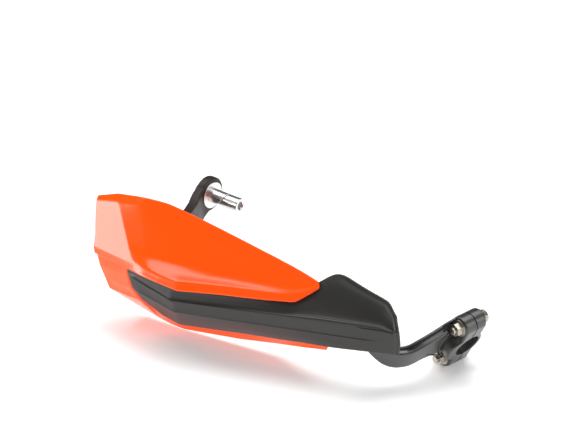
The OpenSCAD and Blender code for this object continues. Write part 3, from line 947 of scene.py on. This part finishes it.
@dataclass
class Bow:
    """The bow from the bar end's eye round the shield's end to the flat plate."""

    places: Places
    eye_r: float = 15.5
    eye_t: float = 8.0
    eye_ease: float = 1.3
    collar_t: float = 1.5
    bush_r: float = 7.0
    steps: int = 14
    path: tuple[Point, ...] = (
        (-5.5, 0, 0), (-4.5, -14, -4.5), (1, -28, -9.5), (7, -45, -12), (10, -62, -9), (11, -80, -4.5),
        (14, -96, 0), (23, -108, 5), (40, -113.5, 9), (62, -115, 10.5), (86, -114.5, 10.5), (110, -112.5, 8.5))

    def band(self) -> Solid:
        """Carries a chamfered section with a channel in its inner face along the bow's curve.

        t and h are half the width and height, g the channel's depth and rim the height of its edges,
        each over s, the number of the key point.

        Returns:
            The closed band.
        """
        pl = self.places
        ends = [pl.plate([x, -pl.layer_t / 2, pl.low]) for x in (-18, 2)]
        line = catmull(np.array([*self.path, *ends], float), self.steps)
        s = np.arange(len(line)) / self.steps
        t = np.interp(s, [0, 1.4, 9.3, 13], [7, 9, 9, 7.9]) / 2
        height = np.interp(s, [0, 1.4, 3.5, 5.83, 7.2, 8.75, 9.9, 13], [26, 28.5, 36, 31, 28, 25, 20, 15])
        h = odd_blur(height, 8, 0) / 2
        g = np.interp(s, [0, 5.5, 6.8, 8.2, 10.5], [0, 0, 2.2, 2.2, 0])
        rim = np.interp(s, [0, 6, 7.5, 9], [5, 5, 7, 6])
        # anticlockwise, with the channel on the positive side
        section = stations([
            (t - 1, -h), (t, -h + 1), (t, -h + rim - 2), (t - g, -h + rim), (t - g, h - rim), (t, h - rim + 2),
            (t, h - 1), (t - 1, h), (-t + 1.5, h), (-t, h - 2.5), (-t, -h + 2.5), (-t + 1.5, -h)])
        up = np.broadcast_to([0.0, 0.0, 1.0], line.shape)
        return sweep(line, up, round_section(section, 120, 0.4))

    def eye(self) -> Solid:
        """Turns the eye, a ring with eased edges.

        Returns:
            The closed ring.
        """
        x0, x1, r, e = -self.collar_t - self.eye_t, -self.collar_t, self.eye_r, self.eye_ease
        profile = [[x0, self.bush_r], [x0, r - e], [x0 + e, r], [x1 - e, r], [x1, r - e], [x1, self.bush_r]]
        return lathe(round_section(np.array([profile]), 120, 0.35)[0], 128)

    def plate(self) -> list[Solid]:
        """Builds the flat plate, and the raised rim that runs round its panel between the screws.

        Returns:
            The plate and the rim, each closed.
        """
        pl = self.places
        t = pl.plate_t
        edge = np.array([[0.9, 0], [0.25, 0.25], [0, 0.9], [0, t - 0.9], [0.25, t - 0.25], [0.9, t]])
        base = pad(slot_outline(-2, pl.screw_gap, 8.0), edge)
        outline = slot_outline(13.5, pl.screw_gap - 12.5, 5.6)
        a = np.linspace(0, 2 * math.pi, 16, endpoint=False)
        flat = outline[:, None] + outward(outline)[:, None] * (0.8 * np.cos(a))[None, :, None]
        height = np.broadcast_to((t + 0.6 * np.sin(a))[None, :, None], (*flat.shape[:2], 1))
        rim = tube(np.concatenate([flat, height], -1)[:, ::-1], closed=True)
        return [pl.laid(solid, -t, pl.low) for solid in (base, rim)]

    def foot(self) -> Solid:
        """Returns the thick pad round the outer screw, which meets the shield's boss."""
        pl, edge = self.places, np.array([[0.8, 0.0], [0.2, 0.2], [0, 0.8], [0, 5.0]])
        return pl.laid(pad(slot_outline(-4, 0.0, 7.6), edge), -pl.layer_t, pl.low - 1.5)

    def build(self) -> None:
        """Builds the bow."""
        parts = [self.band(), self.eye(), *self.plate(), self.foot()]
        dressed("bow_moulding", new_mesh(parts), BOW, "bow", 50)


@dataclass
class Clamp:
    """The arm and the two halves of the handlebar clamp."""

    places: Places
    bore_r: float = 11.2
    wall: float = 3.4
    boss_r: float = 9.3
    width: float = 18.0
    split: float = 0.8
    end_t: float = 7.0  # the rounded ends of a half
    nose: float = 12.0
    nose_in: float = 3.5
    seat_r: float = 7.6
    crease_r: float = 0.55
    steps: int = 18
    path: tuple[Point, ...] = (
        (233, -93, -1.5), (244.5, -91.1, -13.7), (255.5, -85.7, -22.7), (264, -76, -24.5), (271, -63, -20.5))
    creases_at: tuple[tuple[Point, ...], ...] = (
        ((-0.4, -21, 18.2), (-0.4, -22.2, 11), (-0.4, -23, 4), (0.8, -22, -3),
         (3, -18, -10), (4.5, -12.5, -14)),
        ((-0.4, -34, -3.5), (-0.3, -27, -8.3), (0.2, -20.5, -11.6), (1.8, -15, -13.6),
         (4, -11.5, -14.6)))

    def half(self, side: int) -> Solid:
        """Builds one half of the clamp.

        At height w the section is a rounded box. Its half width is width / 2, and past the screws
        sqrt(boss_r^2 - (|w| - gap/2)^2). It runs from the bore, sqrt(bore_r^2 - w^2), or the split
        out to the larger of the flat face and the round wall, sqrt((bore_r + wall)^2 - w^2). The
        half with the arm has a nose too, nose - nose_in + sqrt(nose^2 - (w + 1)^2), and both have
        flat seats round the screws.

        Args:
            side: 1 for the rider's half, -1 for the half with the arm.

        Returns:
            The closed half.
        """
        pl = self.places
        top = pl.bolt_gap / 2 + self.boss_r
        ends = top - (1 - np.cos(np.linspace(0, math.pi / 2, 14))) * self.end_t
        mid = np.linspace(0, top - self.end_t, 90)[:-1]
        w = np.concatenate([-ends, -mid[:0:-1], mid, ends[::-1]])
        past = np.maximum(np.abs(w) - pl.bolt_gap / 2, 0)
        b = np.minimum(half_chord(self.boss_r, past, 0.0025), self.width / 2)
        inner = np.maximum(self.split / 2, half_chord(self.bore_r, w))
        outer = np.maximum(pl.half_t, half_chord(self.bore_r + self.wall, w))
        if side < 0:
            outer = np.maximum(outer, self.nose - self.nose_in + half_chord(self.nose, w + 1))
        outer = odd_blur(outer, 2.0, 0)
        e = np.minimum(1.0, b * 0.5)
        section = [(b, inner), (b, outer - e), (b - e, outer), (-b + e, outer), (-b, outer - e), (-b, inner)]
        ring = round_section(stations(section), 112, 0.3)
        seat = np.hypot(ring[..., 0], np.abs(w)[:, None] - pl.bolt_gap / 2) < self.seat_r
        off_split = ring[..., 1] > 5
        depth = np.where(seat & off_split, np.minimum(ring[..., 1], pl.half_t), ring[..., 1])
        rings = np.stack([ring[..., 0], side * depth, np.broadcast_to(w[:, None], depth.shape)], -1)
        return tube(rings[:, ::side]).placed(pl.clamp_turn, pl.clamp_at)

    def arm(self) -> Solid:
        """Builds the arm: a band with a channel along its top edge, which meets the clamp's outer side.

        t and h are half the width and height, d the channel's depth and f that of the hollow in the
        side, each over s, the number of the key point. In the clamp's frame each point (b, m, w)
        beside the upper nut is moved to b <= -sqrt(seat_r^2 - (w - gap/2)^2), which leaves the nut
        a round recess.

        Returns:
            The closed arm.
        """
        pl = self.places
        inset = -self.width / 2 + 4.5
        ends = [pl.clamp([inset, -pl.half_t - 8, 5.5]), pl.clamp([inset + 0.2, -pl.half_t + 2.5, 5.2])]
        keys = np.array([pl.plate([73, -6.9, 3]), *self.path, *ends], float)
        line = catmull(keys, self.steps)
        up = catmull(np.stack([pl.plate_turn[:, 2]] + [pl.clamp_turn[:, 2]] * 7), self.steps)
        s = np.arange(len(line)) / self.steps
        width = odd_blur(np.interp(s, [0, 1.05, 7], [4.8, 8.5, 8.5]), 5, 0)
        height = np.interp(s, [0, 2.1, 3.5, 4.34, 5.04, 6.02, 7], [12.3, 17, 20, 21.5, 23, 34, 42])
        t, h = width / 2, odd_blur(height, 7, 0) / 2
        rail, groove = width * 0.24, width * 0.17
        d = np.interp(s, [0, 1.2, 2, 5.6, 6.8], [0, 0, 2.2, 2.2, 0.8])
        f = np.interp(s, [0, 1.2, 2.4, 7], [0, 0, 1.3, 1.3])
        section = stations([
            (t - 1.2, -h), (t, -h + 1.2), (t, -h + 3.2), (t - f, -h + 5.2), (t - f, h - 6.4), (t, h - 4.6),
            (t, h - 1), (t - 1, h), (rail, h), (groove, h - d), (-groove, h - d), (-rail, h),
            (-t + 1, h), (-t, h - 1), (-t, -h + 1.2), (-t + 1.2, -h)])
        band = sweep(line, up, round_section(section, 180, 0.35))
        local = (band.points - pl.clamp_at) @ pl.clamp_turn
        near = (local[:, 1] > -pl.half_t - 12) & (local[:, 0] > -self.width / 2 + 1.2)
        recess = half_chord(self.seat_r, local[:, 2] - pl.bolt_gap / 2)
        inside = near & (recess > 0) & (local[:, 0] > -recess)
        local[inside, 0] = -recess[inside]
        return Solid(local, band.quads, band.tris).placed(pl.clamp_turn, pl.clamp_at)

    def creases(self) -> list[Solid]:
        """Builds the thin raised lines where the arm's side runs out into the nose.

        Returns:
            The closed lines.
        """
        pl, made = self.places, []
        a = np.linspace(0, 2 * math.pi, 12, endpoint=False)
        ring = self.crease_r * np.stack([np.cos(a), np.sin(a)], -1)
        for keys in self.creases_at:
            line = catmull(np.array(keys, float), 10)
            section = np.broadcast_to(ring, (len(line), *ring.shape))
            up = np.broadcast_to([1.0, 0.0, 0.3], line.shape)
            made.append(sweep(line, up, section, 0.5).placed(pl.clamp_turn, pl.clamp_at))
        return made

    def tongue(self) -> Solid:
        """Returns the flat tongue between the bow's plate and the shield's boss."""
        pl, edge = self.places, np.array([[0.6, 0.0], [0, 0.6], [0, 3.6], [0.6, 4.2]])
        return pl.laid(pad(slot_outline(14.0, pl.screw_gap, 6.9), edge), -pl.layer_t, pl.low - 0.5)

    def build(self) -> None:
        """Builds the arm and the clamp's halves."""
        parts = [self.arm(), self.half(-1), *self.creases(), self.tongue()]
        dressed("arm_casting", new_mesh(parts), ARM, "clamp_arm", 45)
        dressed("clamp_cap_casting", new_mesh([self.half(1)]), ARM, "clamp_cap", 45)


@dataclass(frozen=True)
class Fastener:
    """A packed screw, nut or turned part, with eased edges."""

    node: str
    finish: Finish
    ease: float

    def build(self, frame: dict) -> None:
        """Builds the eased copy of the node."""
        eased_copy(self.node + "_eased", frame["nodes"][self.node], self.finish, self.ease)


FASTENERS: tuple[Fastener, ...] = (
    Fastener("eye_bush", STEEL, 0.2),
    Fastener("collar", BRIGHT, 0.3),
    Fastener("expander_sleeve", BRIGHT, 0.4),
    Fastener("expander_wedge", BRIGHT, 0.4),
    Fastener("expander_screw", DARK_STEEL, 0.35),
    Fastener("expander_washer", STEEL, 0.25),
    *(Fastener(node, ZINC, 0.3) for node in (
        "clamp_screw_upper", "clamp_screw_lower", "clamp_nut_upper", "clamp_nut_lower",
        "shield_screw_outer", "shield_screw_inner")),
    Fastener("insert_outer", BRASS, 0.2),
    Fastener("insert_inner", BRASS, 0.2),
)


# ---- studio


@dataclass(frozen=True)
class Lamp:
    """A soft rectangular lamp: its place and aim in mm, its sides in metres and its watts.

    One that isn't glossy lights the piece but is not reflected in it.
    """

    name: str
    at: Point
    aim: Point
    size: tuple[float, float]
    power: float
    glossy: bool = True

    def build(self) -> None:
        """Hangs the lamp."""
        data = bpy.data.lights.new(self.name, "AREA")
        data.shape = "RECTANGLE"
        data.size, data.size_y = self.size
        data.energy = self.power
        obj = linked(self.name, data)
        obj.visible_glossy = self.glossy
        turned = (Vector(self.aim) - Vector(self.at)).to_track_quat("-Z", "Y").to_matrix()
        obj.matrix_world = Matrix.Translation(Vector(self.at) * MM) @ turned.to_4x4()


LAMPS: tuple[Lamp, ...] = (
    Lamp("overhead", (270, 330, 1290), (130, -100, 0), (1.0, 1.0), 14.5),
    Lamp("dish", (-650, -80, 1250), (190, -140, 20), (0.95, 0.55), 7.4),
    Lamp("left", (-1210, -850, 120), (20, -137, 20), (0.95, 0.7), 21.0),
    Lamp("wall", (-705, -1210, 680), (20, -137, 25), (0.45, 0.5), 0.28),
    Lamp("right", (1500, 250, 500), (240, -80, 0), (0.8, 0.8), 7.0),
    Lamp("fill", (600, -1300, 900), (120, -100, 0), (1.5, 1.5), 2.5, glossy=False),
    Lamp("front", (250, -1650, 200), (150, -130, 20), (2.2, 0.5), 2.6),
)


@dataclass
class Studio:
    """Camera, floor and surround."""

    floor_z: float  # metres, as the next
    floor_half: float = 6.0
    camera_at: Point = (1226.04, -1397.49, 990.07)
    right: Point = (0.77612, 0.63054, -0.00801)
    down: Point = (0.2956, -0.37501, -0.87863)
    ahead: Point = (-0.55701, 0.67955, -0.47744)
    focal_px: float = 2438.0
    width_px: int = 571
    sensor: float = 36.0
    ambient: float = 0.22
    reflected: float = 0.05
    bounce: float = 0.8
    sheen: float = -0.5
    paper: float = 0.15

    def camera(self) -> None:
        """Places the camera at the photograph's view."""
        cam = bpy.data.cameras.new("camera")
        cam.sensor_width = self.sensor
        cam.lens = self.sensor * self.focal_px / self.width_px
        cam.clip_end = 20.0
        obj = linked("camera", cam)
        turn_to = Matrix((self.right, [-v for v in self.down], [-v for v in self.ahead])).transposed()
        obj.matrix_world = Matrix.Translation(Vector(self.camera_at) * MM) @ turn_to.to_4x4()
        bpy.context.scene.camera = obj

    def floor(self) -> None:
        """Lays a pale floor that keeps the shadow.

        The camera sees white paper with a faint glow, paper. The piece gets the light of a pale grey
        floor that glows by bounce, and by bounce + sheen where it is reflected.
        """
        mesh = bpy.data.meshes.new("floor")
        r, z = self.floor_half, self.floor_z
        mesh.from_pydata([(-r, -r, z), (r, -r, z), (r, r, z), (-r, r, z)], [], [(0, 1, 2, 3)])
        mat = bpy.data.materials.new("floor")
        tree = empty_tree(mat)

        def glowing(shade: float) -> tuple[Socket, Socket]:
            """Adds a matt shade that glows.

            Args:
                shade: How light the grey is.

            Returns:
                The socket of the glow's strength, and the sum.
            """
            kinds = ("BsdfDiffuse", "Emission", "AddShader")
            matt, glow, total = (tree.nodes.new("ShaderNode" + kind) for kind in kinds)
            matt.inputs["Color"].default_value = (shade, shade, shade, 1)
            for source, target in zip((matt, glow), total.inputs):
                tree.links.new(source.outputs[0], target)
            return glow.inputs["Strength"], total.outputs[0]

        path, level = tree.nodes.new("ShaderNodeLightPath"), tree.nodes.new("ShaderNodeMath")
        level.operation = "MULTIPLY_ADD"
        level.inputs[1].default_value, level.inputs[2].default_value = self.sheen, self.bounce
        tree.links.new(path.outputs["Is Glossy Ray"], level.inputs[0])
        strength, lit = glowing(0.86)
        tree.links.new(level.outputs[0], strength)
        strength, seen = glowing(0.98)
        strength.default_value = self.paper
        out = tree.nodes.new("ShaderNodeOutputMaterial")
        tree.links.new(mixed(tree, path.outputs["Is Camera Ray"], lit, seen), out.inputs[0])
        mesh.materials.append(mat)
        linked("floor", mesh)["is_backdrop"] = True

    def surround(self) -> None:
        """Sets a white surround for the camera, a grey one for light and a dim one for reflections."""
        world = bpy.data.worlds.new("studio")
        bpy.context.scene.world = world
        tree = empty_tree(world)
        path, out = tree.nodes.new("ShaderNodeLightPath"), tree.nodes.new("ShaderNodeOutputWorld")
        shades = []
        for name, strength in (("soft", self.ambient), ("dim", self.reflected), ("white", 1.0)):
            shade = tree.nodes.new("ShaderNodeBackground")
            shade.label = name
            shade.inputs["Strength"].default_value = strength
            shade.inputs["Color"].default_value = (1, 1, 1, 1)
            shades.append(shade.outputs[0])
        soft, dim, white = shades
        light = mixed(tree, path.outputs["Is Glossy Ray"], soft, dim)
        tree.links.new(mixed(tree, path.outputs["Is Camera Ray"], light, white), out.inputs[0])

    def build(self) -> None:
        """Builds the studio."""
        bpy.context.scene.view_settings.view_transform = "Standard"
        self.camera()
        self.floor()
        self.surround()
        for lamp in LAMPS:
            lamp.build()


def corners(box: Sequence[Sequence[float]]) -> list[list[float]]:
    """Returns a box's two corners as plain lists of numbers."""
    return [[float(c) for c in corner] for corner in box]


def main() -> None:
    """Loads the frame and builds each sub-assembly in order."""
    logging.basicConfig(level=logging.INFO, format="%(name)s: %(message)s")
    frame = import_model()
    packed = corners(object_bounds())
    places = Places()
    Studio(floor_z=packed[0][2] - FLOOR_GAP).build()
    for assembly in (Shield(places), Trim(places), Bow(places), Clamp(places)):
        assembly.build()
    for fastener in FASTENERS:
        fastener.build(frame)


if __name__ == "__main__":
    main()
